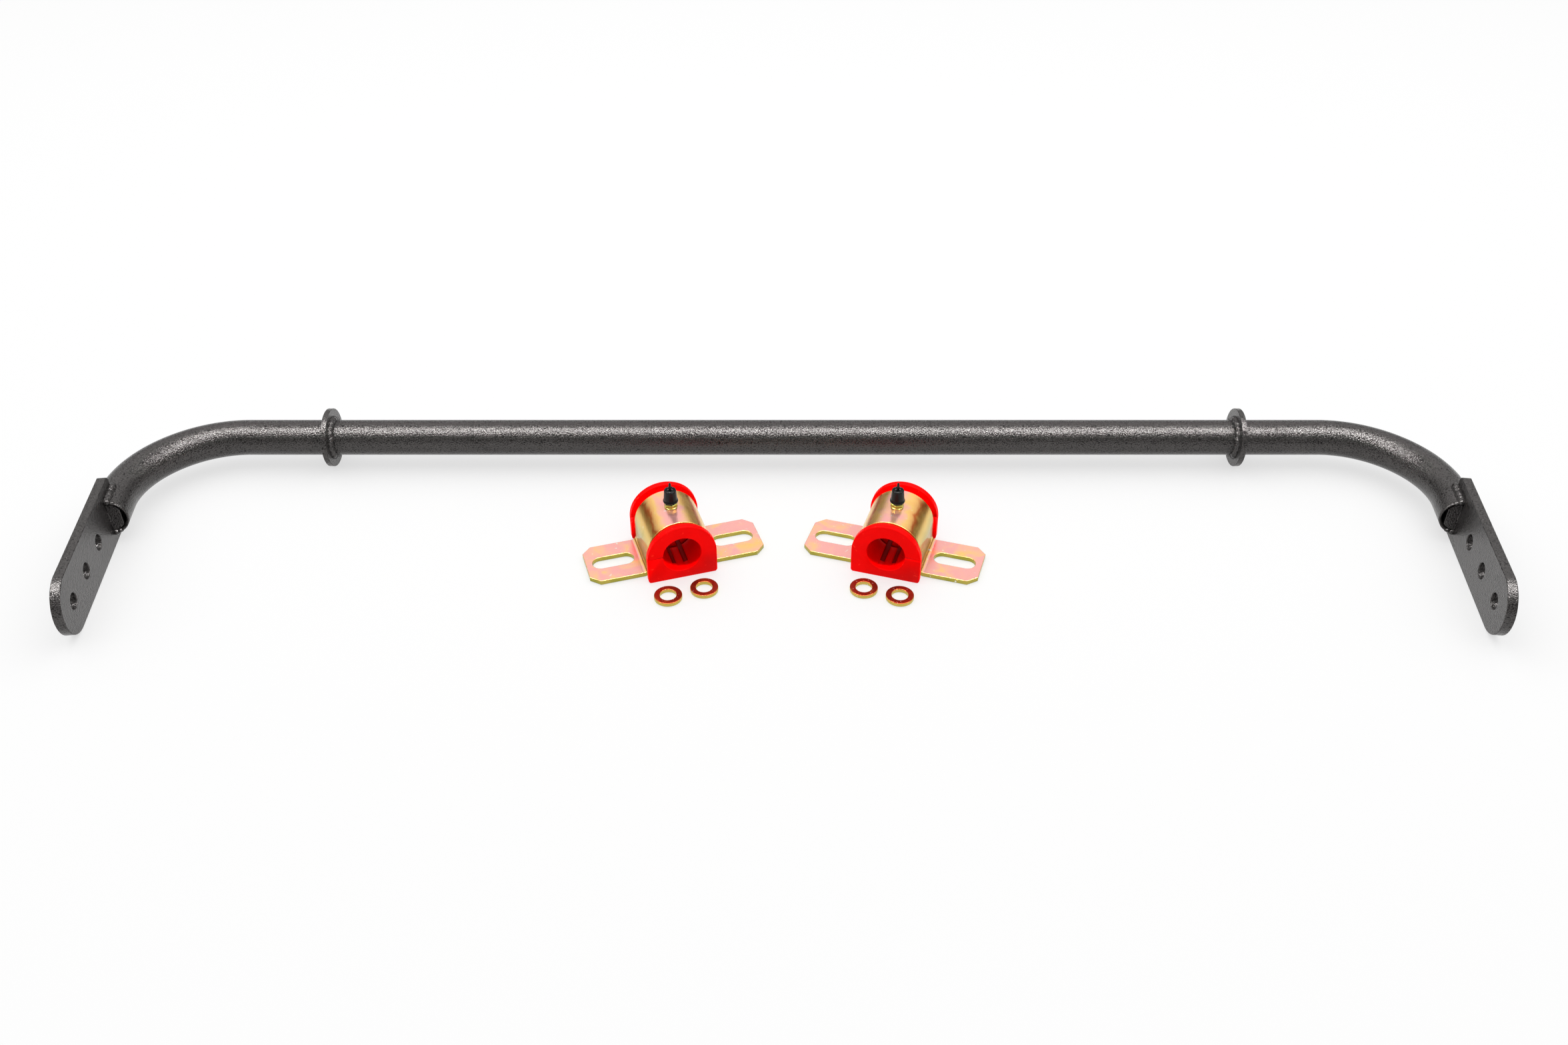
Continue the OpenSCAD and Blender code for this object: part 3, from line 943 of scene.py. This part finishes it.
def make_room():
    """A white studio that reflects with a dark horizon, higher in front than behind."""
    world = bpy.data.worlds.new("studio")
    world.use_nodes = True
    shader = Shader(world.node_tree)
    looking = shader.add("ShaderNodeSeparateXYZ")
    shader.join(shader.add("ShaderNodeTexCoord").outputs["Generated"], looking.inputs[0])
    forward = shader.add("ShaderNodeMath", operation="MINIMUM")
    shader.join(looking.outputs["Y"], forward.inputs[0])
    forward.inputs[1].default_value = 0.0
    height = shader.sum(looking.outputs["Z"], forward.outputs[0], 0.32)
    glow = shader.ramp(
        shader.spread(height, 0.22, 0.44),
        [(0.0, (0.02, 0.02, 0.02)), (0.6, (0.70, 0.70, 0.70)), (1.0, (0.90, 0.90, 0.90))],
    )
    seen = shader.add("ShaderNodeLightPath").outputs["Is Camera Ray"]
    backdrop = shader.blend(seen, glow, (0.95, 0.95, 0.95))
    shader.join(backdrop, shader.nodes["Background"].inputs["Color"])
    bpy.context.scene.world = world


def make_lights(floor):
    """A strip that glints along the bar, and a wide bank whose shadows are soft."""
    strip = add_softbox("overhead_strip", (0, -0.2, 1.5), (0, 0.09, 0), (3.8, 0.12), 92)
    spared = bpy.data.collections.new("not_lit_by_strip")
    spared.objects.link(floor)
    strip.light_linking.receiver_collection = spared
    spared.collection_objects[0].light_linking.link_state = "EXCLUDE"
    bank = add_softbox("overhead_bank", (0, 0.5, 1.6), (0, 0, 0), (3.5, 2.2), 14)
    bank.visible_glossy = False


make_camera()

# ---------------------------------------------------------------- pieces

bar_mesh = bmesh.new()
tube(bar_mesh)
finish_piece("bar_tube_look", bar_mesh, AT_BAR, [powder_coat], "bar", "bar_tube")

for part, build, place in (
    ("collar", collar, AT_LEFT_COLLAR),
    ("collar_weld", collar_weld, AT_LEFT_COLLAR),
    ("end_plate", end_plate, ON_LEFT_ARM),
    ("end_insert", end_insert, ON_LEFT_ARM),
    ("plate_weld", plate_weld, ON_LEFT_ARM),
):
    make_pair(part, build, place, [powder_coat], "bar")

URETHANES = [urethane, groove_shade_urethane]
ON_HEXAGON = ON_LEFT_CROWN @ shift(0, 0, CAP_Z)
make_pair("bushing", bushing, ON_LEFT_BASE, URETHANES, "chassis_side")
make_pair("bracket", bracket, ON_LEFT_BASE, [bracket_zinc], "{side}_bracket")
make_pair(
    "grease_fitting", grease_fitting, ON_LEFT_CROWN, [fitting_zinc], "{side}_bracket"
)
make_pair("dust_cap", dust_cap, ON_HEXAGON, [rubber], "{side}_dust_cap")
for part, spot in (("outer_washer", OUTER_WASHER), ("inner_washer", INNER_WASHER)):
    make_pair(part, washer, shift(*spot, 0), [washer_zinc], "{side}_" + part)

springs = make_pair(
    "check_spring", check_spring, ON_LEFT_CROWN, [spring_steel], "{side}_bracket"
)
for side, mirror in SIDES.items():
    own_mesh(springs[side])
    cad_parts[f"{side}_check_ball"].material_slots[0].material = ball_steel

make_room()
make_lights(make_floor())
bpy.context.scene.view_settings.view_transform = "Standard"
